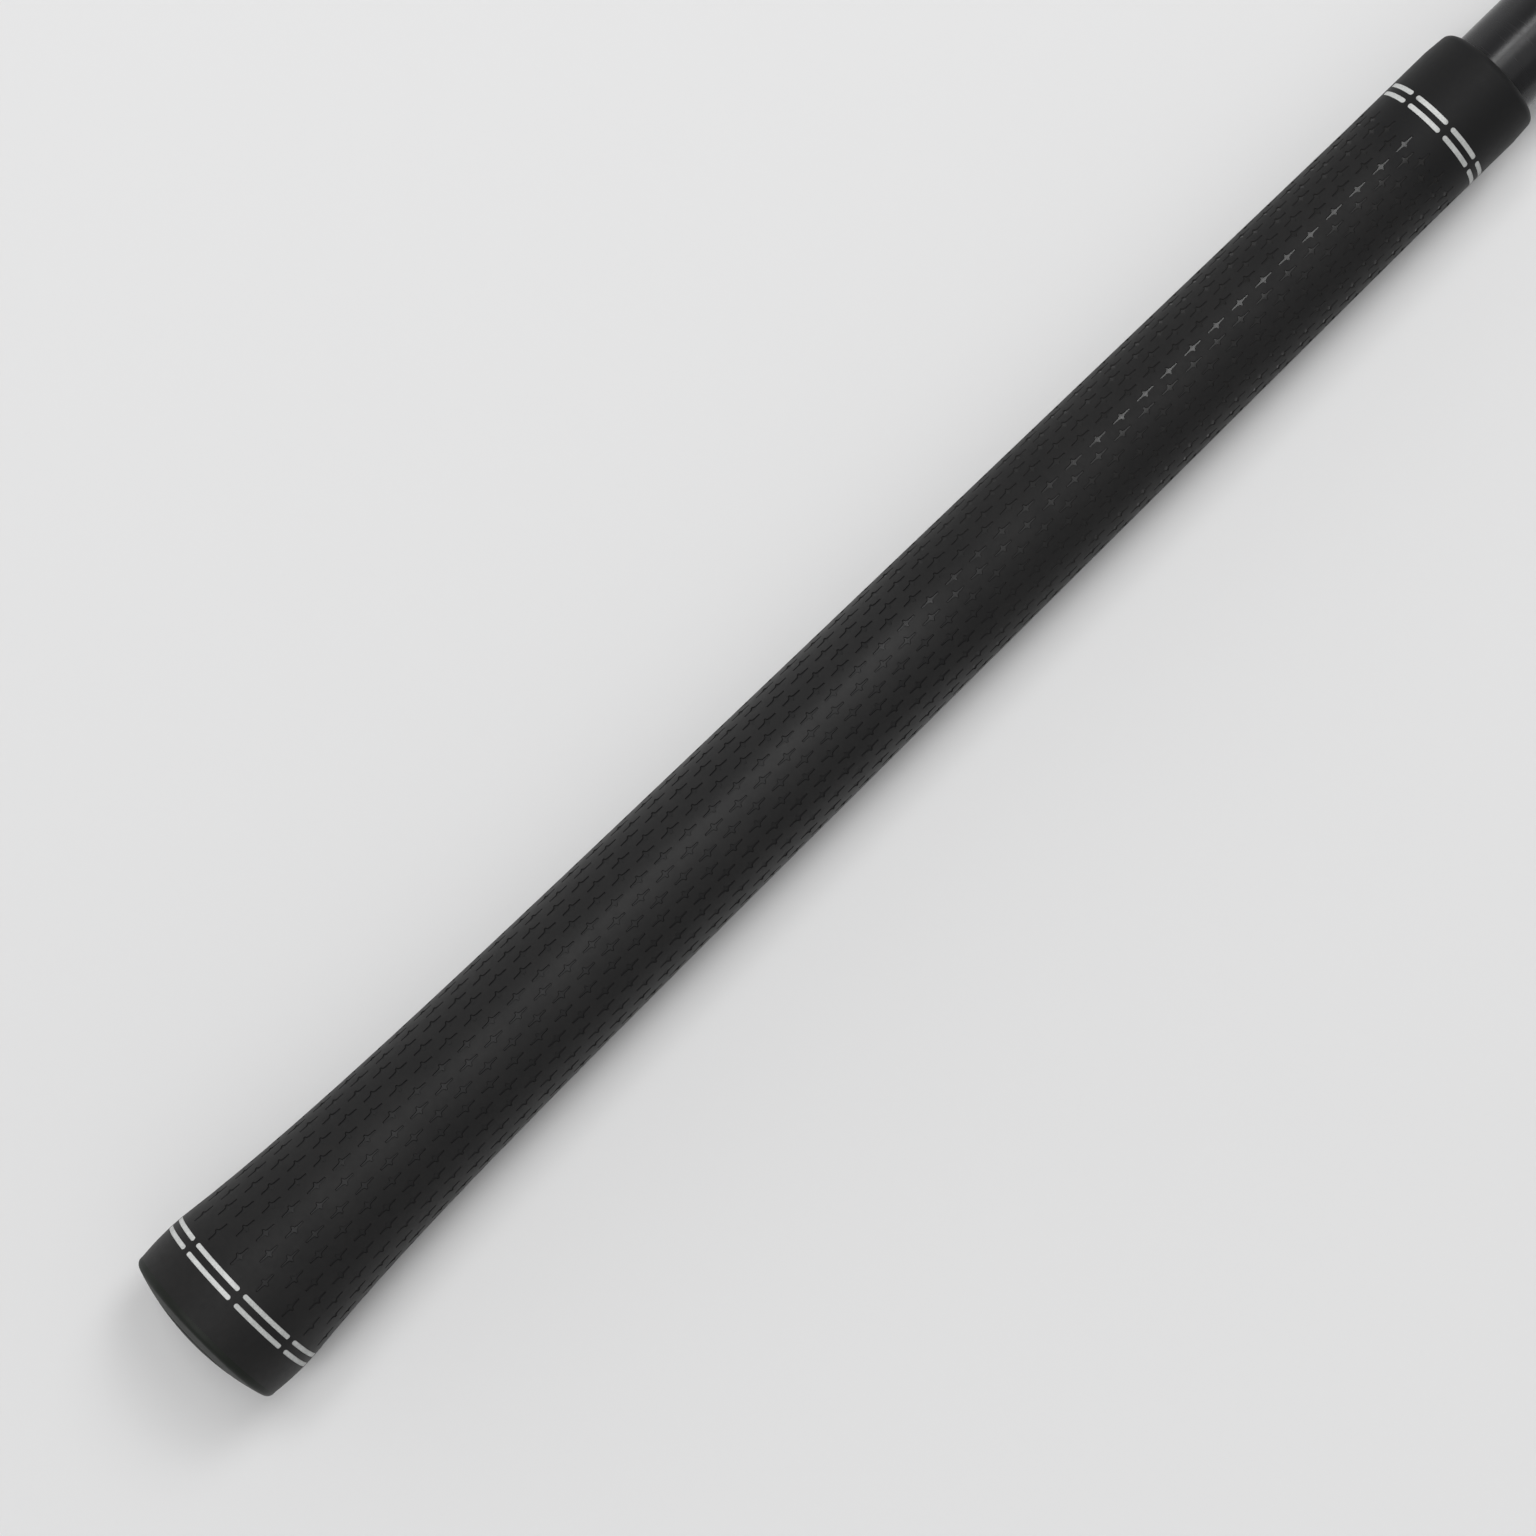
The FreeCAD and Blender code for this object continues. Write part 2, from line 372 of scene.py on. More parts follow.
def pressed_tile(name, lag):
    """One flat tile of the pattern: a shallow star pressed into plain rubber, with sloping walls."""
    outline = star_outline()
    border = tile_border(lag)
    let_go()
    bpy.ops.mesh.primitive_circle_add(vertices=len(outline), radius=MM, fill_type="NGON")
    tile = name_piece(name)
    rubber_finishes(tile)
    shape_circle(tile, outline, 0)
    edit("FACE")
    bpy.ops.mesh.select_all(action="SELECT")
    bpy.ops.mesh.inset(thickness=MARK_SLOPE, depth=-MARK_DEPTH)
    done()
    for polygon in tile.data.polygons:
        polygon.material_index = 1 if polygon.select else 2
    filled = len(tile.data.vertices)
    edit()
    bpy.ops.mesh.primitive_circle_add(vertices=len(border), radius=2 * MM, fill_type="NOTHING")
    done()
    shape_circle(tile, border, filled)
    for vertex in tile.data.vertices:
        vertex.select = abs(vertex.co.z) < NEAR
    for edge in tile.data.edges:
        edge.select = all(tile.data.vertices[end].select for end in edge.vertices)
    for polygon in tile.data.polygons:
        polygon.select = False
    bpy.ops.object.mode_set(mode="EDIT")
    bpy.ops.mesh.select_mode(type="EDGE")
    bpy.ops.mesh.fill(use_beauty=True)
    done()
    for polygon in tile.data.polygons:
        if all(abs(tile.data.vertices[v].co.z) < NEAR for v in polygon.vertices):
            polygon.material_index = 0
    return tile


def wrap_marks(sheet, first_row, lag):
    """Wrap a flat sheet of marks round the grip, with the marks kept at their real size."""
    for vertex in sheet.data.vertices:
        along, across, height = vertex.co
        x = mark_x(along / MARK_PITCH + lag)
        row = round(across / (4 * HALF_TILE))
        off = across - row * 4 * HALF_TILE
        radius = outside_radius(x)
        angle = off / radius
        if abs(off) > HALF_TILE - NEAR:
            angle = math.copysign(ROW_PITCH / 4, off)
        angle += first_row + row * ROW_PITCH + twist_at(x)
        vertex.co = round_point(x, angle, radius + height)


def row_filler(name, low, high):
    """The plain piece between a row's last tile and the straight end of the pattern."""
    let_go()
    bpy.ops.mesh.primitive_grid_add(x_subdivisions=1, y_subdivisions=2, size=1)
    filler = name_piece(name)
    rubber_finishes(filler)
    for vertex in filler.data.vertices:
        along = low if vertex.co.x < 0 else high
        vertex.co = (along * MARK_PITCH, vertex.co.y * 2 * HALF_TILE, 0)
    return filler


def marked_rubber():
    """Both sets of pressed rows, with the plain ends of the lagging set."""
    leading = pressed_tile("leading_rows", ROW_LAG - 0.5)
    repeat(leading, MARKS_IN_ROW, (MARK_PITCH, 0, 0))
    repeat(leading, ROWS_IN_SET, (0, 4 * HALF_TILE, 0))
    wrap_marks(leading, FIRST_ROW, 0)
    lagging = pressed_tile("lagging_rows", 0.5 - ROW_LAG)
    repeat(lagging, MARKS_IN_ROW - 1, (MARK_PITCH, 0, 0))
    start = row_filler("row_start", -0.5 - ROW_LAG, -0.5)
    end = row_filler("row_end", MARKS_IN_ROW - 1.5, MARKS_IN_ROW - 0.5 - ROW_LAG)
    lagging = join_all([lagging, start, end], "lagging_rows")
    repeat(lagging, ROWS_IN_SET, (0, 4 * HALF_TILE, 0))
    wrap_marks(lagging, FIRST_ROW + ROW_PITCH / 2, ROW_LAG)
    return [leading, lagging]


# ------------------------------------------------------------------------------ dash rings

def round_dash_ends(piece, width, ends, segments):
    """Round the four upright edges at the ends of a dash."""
    edit("EDGE")
    done()
    for edge in piece.data.edges:
        a, b = (piece.data.vertices[end].co for end in edge.vertices)
        upright = abs(a.x - b.x) + abs(a.y - b.y) < NEAR
        at_corner = abs(abs(a.x) - width / 2) < NEAR and abs(abs(a.y) - ends) < NEAR
        edge.select = upright and at_corner
    bpy.ops.object.mode_set(mode="EDIT")
    bpy.ops.mesh.bevel(offset=width / 2 * DASH_ROUNDNESS, segments=segments, affect="EDGES",
                       clamp_overlap=True)
    done()


def groove_tile(name, radius, width, gap, low, high):
    """One flat tile of a dash ring: plain rubber from low to high with a groove pressed in."""
    columns = RIM_SEGMENTS // DASHES_IN_RING
    pitch = 2 * math.pi * radius / DASHES_IN_RING
    ends = (pitch - gap) / 2
    let_go()
    bpy.ops.mesh.primitive_grid_add(x_subdivisions=3, y_subdivisions=columns + 2, size=1)
    tile = name_piece(name)
    rubber_finishes(tile)
    rows = [low, -width / 2, width / 2, high]
    places = [-pitch / 2, -ends]
    places += [pitch * (number / columns - 0.5) for number in range(1, columns)]
    places += [ends, pitch / 2]
    for vertex in tile.data.vertices:
        row = round((vertex.co.x + 0.5) * 3)
        column = round((vertex.co.y + 0.5) * (columns + 2))
        vertex.co = (rows[row], places[column], 0)
    pick_faces(tile, lambda face: abs(face.center.x) < width / 4 and abs(face.center.y) < ends)
    bpy.ops.object.mode_set(mode="EDIT")
    bpy.ops.mesh.select_mode(type="FACE")
    bpy.ops.mesh.extrude_region_move(TRANSFORM_OT_translate={"value": (0, 0, -DASH_DEPTH)})
    done()
    round_dash_ends(tile, width, ends, GROOVE_END_STEPS)
    for polygon in tile.data.polygons:
        if any(tile.data.vertices[v].co.z < -DASH_DEPTH / 2 for v in polygon.vertices):
            polygon.material_index = 1
    return tile


def wrap_ring(sheet, x, radius, turn):
    """Wrap flat dashes or groove tiles round a ring; height grows outwards."""
    for vertex in sheet.data.vertices:
        along, across, height = vertex.co
        surface = outside_radius(x + along)
        vertex.co = round_point(x + along, across / radius + turn, surface + height)


def groove_ring(name, x, radius, width, gap, low, high, turn):
    """Eight groove tiles round the grip."""
    pitch = 2 * math.pi * radius / DASHES_IN_RING
    tile = groove_tile(name, radius, width, gap, low - x, high - x)
    repeat(tile, DASHES_IN_RING, (0, pitch, 0))
    wrap_ring(tile, x, radius, turn + math.pi / DASHES_IN_RING)
    return tile


def paint_ring(name, x, radius, width, gap, turn):
    """Paint that fills eight grooves: soft-edged bars, a little below the rubber."""
    columns = RIM_SEGMENTS // DASHES_IN_RING * 2
    pitch = 2 * math.pi * radius / DASHES_IN_RING
    ends = (pitch - gap) / 2 - BOND_GAP
    wide = width - 2 * BOND_GAP
    let_go()
    bpy.ops.mesh.primitive_grid_add(x_subdivisions=1, y_subdivisions=columns, size=1)
    bar = name_piece(name)
    for vertex in bar.data.vertices:
        across = max(-ends, min(ends, vertex.co.y * pitch))
        vertex.co = (vertex.co.x * wide, across, -DASH_DEPTH)
    edit("FACE")
    bpy.ops.mesh.select_all(action="SELECT")
    rise = DASH_DEPTH - PAINT_SINK
    bpy.ops.mesh.extrude_region_move(TRANSFORM_OT_translate={"value": (0, 0, rise)})
    done()
    round_dash_ends(bar, wide, ends, PAINT_END_STEPS)
    for edge in bar.data.edges:
        edge.select = False
    for vertex in bar.data.vertices:
        vertex.select = False
    for polygon in bar.data.polygons:
        polygon.select = polygon.center.z > -PAINT_SINK - NEAR
    bpy.ops.object.mode_set(mode="EDIT")
    bpy.ops.mesh.select_mode(type="FACE")
    bpy.ops.mesh.region_to_loop()
    bpy.ops.mesh.bevel(offset=PAINT_EDGE, segments=2, affect="EDGES", clamp_overlap=True)
    done()
    repeat(bar, DASHES_IN_RING, (0, pitch, 0))
    wrap_ring(bar, x, radius, turn + math.pi / DASHES_IN_RING)
    take(bar)
    merge_all()
    bpy.ops.object.shade_smooth_by_angle(angle=math.radians(50))
    return bar


# ------------------------------------------------------------------------------ rubber sleeve

def turn_with_rubber(piece):
    """Turn a piece's points with the twist of the rubber."""
    for vertex in piece.data.vertices:
        turn = Matrix.Rotation(twist_at(vertex.co.x), 3, "X")
        vertex.co = turn @ vertex.co


def sleeve_shell():
    """The plain faces of the sleeve: butt band, collar end, rounded mouth, bore and cap socket."""
    bore_end = TAPE_END_X + BOND_GAP
    bore_at_tape_end = shaft_radius(TAPE_END_X) + TAPE_THICKNESS + BOND_GAP
    socket = PLUG_RADIUS + BOND_GAP
    mouth_bore = shaft_radius(GRIP_LENGTH) + BOND_GAP
    profile = [(MOUTH_RINGS_END, MOUTH_RADIUS), (LIP_X - 3 * MM, MOUTH_RADIUS),
               (LIP_X, MOUTH_RADIUS)]
    profile += arc((GRIP_LENGTH - MOUTH_EDGE, LIP_RADIUS - MOUTH_EDGE), MOUTH_EDGE, 90, 0, 6)
    profile += [
        (GRIP_LENGTH, mouth_bore + MOUTH_BORE_BREAK[1]),
        (GRIP_LENGTH - MOUTH_BORE_BREAK[0], mouth_bore),
        (bore_end, shaft_radius(TAPE_END_X) + BOND_GAP),
        (bore_end, bore_at_tape_end),
        (PLUG_END_X + BOND_GAP, shaft_radius(PLUG_END_X) + TAPE_THICKNESS + BOND_GAP),
        (PLUG_END_X + BOND_GAP, socket),
        (SEAM_X, socket)]
    for step in range(6):
        x = SEAM_X + (BUTT_RINGS_START - SEAM_X) * step / 5
        profile.append((x, outside_radius(x)))
    shell = turned("sleeve_shell", profile)
    rubber_finishes(shell)
    turn_with_rubber(shell)
    return shell


def plain_ring(name, low, high):
    """A plain band of the outside between two places, in line with the mouth's twist."""
    band = turned(name, [(low, outside_radius(low)), (high, outside_radius(high))])
    rubber_finishes(band)
    turn_with_rubber(band)
    return band


def true_normals(sleeve):
    """Shade the outside and the floors of the marks as the turned shapes they are, not as facets."""
    outward = 0.05
    upright = 0.8
    skin = 0.6 * MM
    mesh = sleeve.data
    edge_x = GRIP_LENGTH - MOUTH_EDGE
    edge_r = LIP_RADIUS - MOUTH_EDGE
    normals = [Vector((0, 0, 0)) for _ in mesh.loops]
    for polygon in mesh.polygons:
        middle = polygon.center
        distance = math.hypot(middle.y, middle.z)
        facing = polygon.normal.dot(Vector((0, middle.y, middle.z)).normalized())
        if facing < outward or distance < min(outside_radius(middle.x) - skin, edge_r):
            continue
        if middle.x < edge_x and facing < upright:
            continue
        for corner in polygon.loop_indices:
            place = mesh.vertices[mesh.loops[corner].vertex_index].co
            away = Vector((0, place.y, place.z)).normalized()
            if middle.x > edge_x:
                normals[corner] = (place - away * edge_r - Vector((edge_x, 0, 0))).normalized()
            else:
                normals[corner] = (away - Vector((outside_slope(place.x), 0, 0))).normalized()
    mesh.normals_split_custom_set(normals)


def rubber_sleeve():
    """The whole sleeve in one mesh: marks, grooves for the rings, and the plain faces."""
    parts = marked_rubber()
    butt_middle = sum(BUTT_RINGS) / 2
    mouth_middle = sum(MOUTH_RINGS) / 2
    butt = (BUTT_RADIUS, BUTT_DASH_WIDTH, BUTT_DASH_GAP)
    mouth = (MOUTH_RADIUS, MOUTH_DASH_WIDTH, MOUTH_DASH_GAP)
    parts.append(groove_ring("groove_a", BUTT_RINGS[0], *butt, BUTT_RINGS_START, butt_middle, 0))
    parts.append(groove_ring("groove_b", BUTT_RINGS[1], *butt, butt_middle, PATTERN_START, 0))
    parts.append(groove_ring("groove_c", MOUTH_RINGS[0], *mouth,
                             MOUTH_RINGS_START, mouth_middle, INSTALLED_TWIST))
    parts.append(groove_ring("groove_d", MOUTH_RINGS[1], *mouth,
                             mouth_middle, MOUTH_RINGS_END, INSTALLED_TWIST))
    parts.append(plain_ring("collar_start", PATTERN_END, MOUTH_RINGS_START))
    parts.append(sleeve_shell())
    sleeve = join_all(parts, "rubber_sleeve")
    merge_all(SLEEVE_WELD)
    bpy.ops.object.shade_smooth_by_angle(angle=math.radians(35))
    true_normals(sleeve)
    return sleeve


# ------------------------------------------------------------------------------ cap and shaft

def end_cap():
    """The harder rubber cap: domed face with a soft-edged ring groove, vent hole and plug."""
    rim = BUTT_RADIUS - CAP_EDGE
    sphere = (CAP_HEIGHT ** 2 + rim ** 2 - CAP_EDGE ** 2) / (2 * (CAP_HEIGHT - CAP_EDGE))
    meeting = math.degrees(math.atan2(rim, CAP_HEIGHT - sphere))

    def dome(radius):
        return sphere - math.sqrt(sphere ** 2 - radius ** 2)

    soft = FACE_RING_BREAK
    rolled = soft / 3
    inner = FACE_RING_RADIUS - FACE_RING_WIDTH / 2
    outer = FACE_RING_RADIUS + FACE_RING_WIDTH / 2
    floor = dome(FACE_RING_RADIUS) + FACE_RING_DEPTH
    profile = [
        (PLUG_END_X, VENT_RADIUS), (0.25 * MM, VENT_RADIUS),
        (0.09 * MM, VENT_RADIUS + VENT_BREAK / 4),
        (dome(VENT_RADIUS + VENT_BREAK), VENT_RADIUS + VENT_BREAK)]
    for radius in (2.4, 3.6, 5.0, 6.4, 7.6):
        profile.append((dome(radius * MM), radius * MM))
    profile += [
        (dome(inner - soft), inner - soft), (dome(inner) + rolled, inner),
        (floor - rolled, inner + soft), (floor, inner + 2 * soft),
        (floor, outer - 2 * soft), (floor - rolled, outer - soft),
        (dome(outer) + rolled, outer), (dome(outer + soft), outer + soft)]
    for radius in (10.1, 11.0, 12.0, 12.8):
        profile.append((dome(radius * MM), radius * MM))
    profile += arc((CAP_HEIGHT, rim), CAP_EDGE, meeting, 90, 8)
    profile += [
        (SEAM_X, BUTT_RADIUS), (SEAM_X, PLUG_RADIUS),
        (PLUG_END_X - PLUG_BREAK, PLUG_RADIUS), (PLUG_END_X, PLUG_RADIUS - PLUG_BREAK)]
    cap = turned("end_cap", profile, FINE_SEGMENTS, closed=True)
    bpy.ops.object.shade_smooth_by_angle(angle=math.radians(40))
    return cap


def shaft_end():
    """The painted shaft: tapered in the grip, parallel beyond it, with its cut end broken."""
    inner = SHAFT_STUB_RADIUS - SHAFT_WALL
    edge = SHAFT_END_BREAK
    profile = [
        (SHAFT_START_X, SHAFT_BUTT_RADIUS - SHAFT_WALL),
        (SHAFT_START_X, SHAFT_BUTT_RADIUS - SHAFT_BREAK),
        (SHAFT_START_X + SHAFT_BREAK, SHAFT_BUTT_RADIUS),
        (GRIP_LENGTH, SHAFT_STUB_RADIUS)]
    profile += [(GRIP_LENGTH + place * MM, SHAFT_STUB_RADIUS) for place in (10, 20, 30, 38)]
    profile += arc((SHAFT_END_X - edge, SHAFT_STUB_RADIUS - edge), edge, 90, 0, 4)
    profile += [
        (SHAFT_END_X, inner + SHAFT_BREAK),
        (SHAFT_END_X - SHAFT_BREAK, inner),
        (GRIP_LENGTH, inner)]
    shaft = turned("shaft_end", profile, FINE_SEGMENTS, closed=True)
    bpy.ops.object.shade_smooth_by_angle(angle=math.radians(35))
    return shaft


# ------------------------------------------------------------------------------ finishes

def new_finish(name):
    """An empty finish with its shader, and the object coordinates that its patterns read."""
    finish = bpy.data.materials.new(name)
    finish.use_nodes = True
    nodes = finish.node_tree.nodes
    shader = nodes["Principled BSDF"]
    place = nodes.new("ShaderNodeTexCoord")
    return finish, shader, place


def link(finish, start, end):
    """Join two sockets of a finish."""
    finish.node_tree.links.new(start, end)


def grain(finish, place, size, detail=3.0, roughness=0.55, distortion=0.0):
    """A noise pattern with grains of about the given size."""
    node = finish.node_tree.nodes.new("ShaderNodeTexNoise")
    node.inputs["Scale"].default_value = 1 / size
    node.inputs["Detail"].default_value = detail
    node.inputs["Roughness"].default_value = roughness
    node.inputs["Distortion"].default_value = distortion
    link(finish, place.outputs["Object"], node.inputs["Vector"])
    return node.outputs["Fac"]


def ramp(finish, source, low, high, start=0.0, end=1.0):
    """Colours from low to high between two levels of a pattern."""
    node = finish.node_tree.nodes.new("ShaderNodeValToRGB")
    node.color_ramp.elements[0].position = start
    node.color_ramp.elements[0].color = (*low, 1)
    node.color_ramp.elements[1].position = end
    node.color_ramp.elements[1].color = (*high, 1)
    link(finish, source, node.inputs["Fac"])
    return node.outputs["Color"]


def levels(finish, source, from_low, from_high, to_low, to_high, ease="LINEAR"):
    """Carry a pattern from one range of levels to another."""
    node = finish.node_tree.nodes.new("ShaderNodeMapRange")
    node.interpolation_type = ease
    node.inputs["From Min"].default_value = from_low
    node.inputs["From Max"].default_value = from_high
    node.inputs["To Min"].default_value = to_low
    node.inputs["To Max"].default_value = to_high
    link(finish, source, node.inputs["Value"])
    return node.outputs["Result"]


def combine(finish, how, first, second):
    """Add or multiply two patterns, or a pattern and a number."""
    node = finish.node_tree.nodes.new("ShaderNodeMath")
    node.operation = how
    for socket, value in zip(node.inputs, (first, second)):
        if isinstance(value, float):
            socket.default_value = value
        else:
            link(finish, value, socket)
    return node.outputs["Value"]


def relief(finish, height, depth, strength, under=None):
    """A bump of the given depth in metres, laid over another one."""
    node = finish.node_tree.nodes.new("ShaderNodeBump")
    node.inputs["Strength"].default_value = strength
    node.inputs["Distance"].default_value = depth
    link(finish, height, node.inputs["Height"])
    if under:
        link(finish, under, node.inputs["Normal"])
    return node.outputs["Normal"]


def along_axis(axis, finish, place):
    """The distance along an axis, as a pattern. X runs from the butt to the mouth."""
    node = finish.node_tree.nodes.new("ShaderNodeSeparateXYZ")
    link(finish, place.outputs["Object"], node.inputs["Vector"])
    return node.outputs[axis]


def worn_rubber():
    """Buffed black rubber: fine grain, cloudy patches and a polish where the hands hold it."""
    finish, shader, place = new_finish("buffed_rubber")
    clouds = grain(finish, place, 9 * MM, 4.0, 0.6, 0.3)
    blotches = grain(finish, place, 1.1 * MM, 3.0, 0.6)
    fine = grain(finish, place, 0.16 * MM, 2.0, 0.5)
    x = along_axis("X", finish, place)
    ragged = combine(finish, "ADD", x, combine(finish, "MULTIPLY", clouds, 0.012))
    gone = levels(finish, ragged, *POLISH_ENDS, 1.0, 0.0, "SMOOTHSTEP")
    come = levels(finish, x, *POLISH_STARTS, 0.015, 0.16)
    held = combine(finish, "MULTIPLY", come, gone)
    mixed = combine(finish, "ADD", combine(finish, "MULTIPLY", blotches, 0.45),
                    combine(finish, "MULTIPLY", clouds, 0.55))
    tone = combine(finish, "ADD", mixed,
                   levels(finish, x, *COLLAR_DULLS, 0.0, -0.45, "SMOOTHSTEP"))
    link(finish, ramp(finish, tone, (0.0085, 0.0085, 0.0089), (0.0150, 0.0145, 0.0143), 0.15, 0.75),
         shader.inputs["Base Color"])
    link(finish, levels(finish, mixed, 0.3, 0.7, 0.68, 0.58), shader.inputs["Roughness"])
    link(finish, held, shader.inputs["Coat Weight"])
    shader.inputs["Coat Roughness"].default_value = 0.37
    coarse = relief(finish, blotches, 0.02 * MM, 0.35)
    link(finish, relief(finish, fine, 0.012 * MM, 0.5, coarse), shader.inputs["Normal"])
    shader.inputs["Specular IOR Level"].default_value = 0.2
    shader.inputs["Sheen Weight"].default_value = 0.035
    shader.inputs["Sheen Roughness"].default_value = 0.5
    return finish


def moulded_rubber():
    """Rubber as the mould left it, in the marks and grooves: bright, but dulled where it is held. Its
    colour lightens towards the mouth, painted light that lets the floors there fade into the rubber
    round them.
    """
    finish, shader, place = new_finish("moulded_rubber")
    blotches = grain(finish, place, 0.8 * MM, 3.0, 0.6)
    fine = grain(finish, place, 0.12 * MM, 2.0, 0.5)
    x = along_axis("X", finish, place)
    # Painted light: the floors' colour lightens from 140 to 190 mm towards the mouth.
    tone = combine(finish, "ADD", combine(finish, "MULTIPLY", blotches, 0.4),
                   levels(finish, x, *MARK_FLOORS_PAINTED_LIGHT, 0.0, 0.5, "SMOOTHSTEP"))
    link(finish, ramp(finish, tone, (0.0128, 0.0128, 0.0131), (0.0192, 0.0189, 0.0186), 0.1, 0.8),
         shader.inputs["Base Color"])
    dull = levels(finish, x, *MARKS_BRIGHTEN, 0.30, 0.0, "SMOOTHSTEP")
    spared = combine(finish, "MULTIPLY",
                     levels(finish, x, *SPARED_STARTS, 0.0, -0.15, "SMOOTHSTEP"),
                     levels(finish, x, *SPARED_ENDS, 1.0, 0.0, "SMOOTHSTEP"))
    dull = combine(finish, "ADD", dull, spared)
    rough = levels(finish, blotches, 0.3, 0.7, 0.17, 0.23)
    link(finish, combine(finish, "ADD", rough, dull), shader.inputs["Roughness"])
    link(finish, relief(finish, fine, 0.004 * MM, 0.3), shader.inputs["Normal"])
    shader.inputs["Specular IOR Level"].default_value = 0.23
    return finish


def painted_shade_walls():
    """The steep walls of the marks, which the buffing never reaches, darker than the rubber round
    them: painted shade that deepens the marks, lighter from the end of the polish towards the mouth.
    """
    finish, shader, place = new_finish("painted_shade_walls")
    blotches = grain(finish, place, 0.8 * MM, 3.0, 0.6)
    fine = grain(finish, place, 0.12 * MM, 2.0, 0.5)
    # Painted shade: the walls' colour is dark near the butt and lightens towards the mouth.
    tone = combine(finish, "ADD", combine(finish, "MULTIPLY", blotches, 0.5),
                   levels(finish, along_axis("X", finish, place), *POLISH_ENDS, 0.0, 0.45))
    link(finish, ramp(finish, tone, (0.0060, 0.0060, 0.0063), (0.0172, 0.0168, 0.0166), 0.15, 0.75),
         shader.inputs["Base Color"])
    link(finish, levels(finish, blotches, 0.3, 0.7, 0.62, 0.54), shader.inputs["Roughness"])
    link(finish, relief(finish, fine, 0.006 * MM, 0.4), shader.inputs["Normal"])
    shader.inputs["Specular IOR Level"].default_value = 0.14
    return finish


def cap_rubber():
    """The cap's harder rubber: a close satin grain, faintly grey-green against the sleeve."""
    finish, shader, place = new_finish("cap_rubber")
    clouds = grain(finish, place, 5 * MM, 3.0, 0.6)
    fine = grain(finish, place, 0.18 * MM, 2.0, 0.5)
    link(finish, ramp(finish, clouds, (0.0092, 0.0112, 0.0088), (0.0128, 0.0150, 0.0124), 0.3, 0.7),
         shader.inputs["Base Color"])
    link(finish, levels(finish, clouds, 0.3, 0.7, 0.60, 0.52), shader.inputs["Roughness"])
    link(finish, relief(finish, fine, 0.012 * MM, 0.5), shader.inputs["Normal"])
    shader.inputs["Specular IOR Level"].default_value = 0.2
    return finish


def ring_enamel():
    """White paint in the grooves: satin, speckled, and greyer on the -Y side, which is painted shade.
    """
    finish, shader, place = new_finish("ring_paint")
    clouds = grain(finish, place, 1.6 * MM, 3.0, 0.6)
    specks = grain(finish, place, 0.25 * MM, 2.0, 0.6)
    fine = grain(finish, place, 0.14 * MM, 2.0, 0.5)
    mixed = combine(finish, "ADD", combine(finish, "MULTIPLY", clouds, 0.5),
                    combine(finish, "MULTIPLY", specks, 0.5))
    # Painted shade: the -Y half of each ring, away from the lamps, gets greyer paint.
    lit_side = ramp(finish, mixed, (0.50, 0.51, 0.50), (0.65, 0.66, 0.65), 0.35, 0.62)
    painted_shade_side = ramp(finish, mixed, (0.39, 0.40, 0.39), (0.53, 0.54, 0.53), 0.35, 0.62)
    both = finish.node_tree.nodes.new("ShaderNodeMix")
    both.data_type = "RGBA"
    link(finish, levels(finish, along_axis("Y", finish, place), *PAINT_SHADE_EDGE, 0.0, 1.0),
         both.inputs["Factor"])
    link(finish, painted_shade_side, both.inputs["A"])
    link(finish, lit_side, both.inputs["B"])
    link(finish, both.outputs["Result"], shader.inputs["Base Color"])
    link(finish, levels(finish, clouds, 0.3, 0.7, 0.55, 0.42), shader.inputs["Roughness"])
    coarse = relief(finish, clouds, 0.03 * MM, 0.4)
    link(finish, relief(finish, fine, 0.01 * MM, 0.4, coarse), shader.inputs["Normal"])
    return finish


def shaft_paint():
    """Black satin paint on the shaft, with faint rubbing round it."""
    finish, shader, place = new_finish("shaft_paint")
    stretch = finish.node_tree.nodes.new("ShaderNodeMapping")
    stretch.inputs["Scale"].default_value = (6, 0.6, 0.6)
    link(finish, place.outputs["Object"], stretch.inputs["Vector"])
    rubs = finish.node_tree.nodes.new("ShaderNodeTexNoise")
    rubs.inputs["Scale"].default_value = 1 / (3 * MM)
    rubs.inputs["Detail"].default_value = 4.0
    link(finish, stretch.outputs["Vector"], rubs.inputs["Vector"])
    clouds = grain(finish, place, 6 * MM, 3.0, 0.6)
    fine = grain(finish, place, 0.2 * MM, 2.0, 0.5)
    link(finish, ramp(finish, clouds, (0.010, 0.010, 0.011), (0.015, 0.015, 0.016), 0.3, 0.7),
         shader.inputs["Base Color"])
    link(finish, levels(finish, rubs.outputs["Fac"], 0.3, 0.7, 0.22, 0.29), shader.inputs["Roughness"])
    link(finish, relief(finish, fine, 0.004 * MM, 0.4), shader.inputs["Normal"])
    shader.inputs["Specular IOR Level"].default_value = 0.4
    return finish


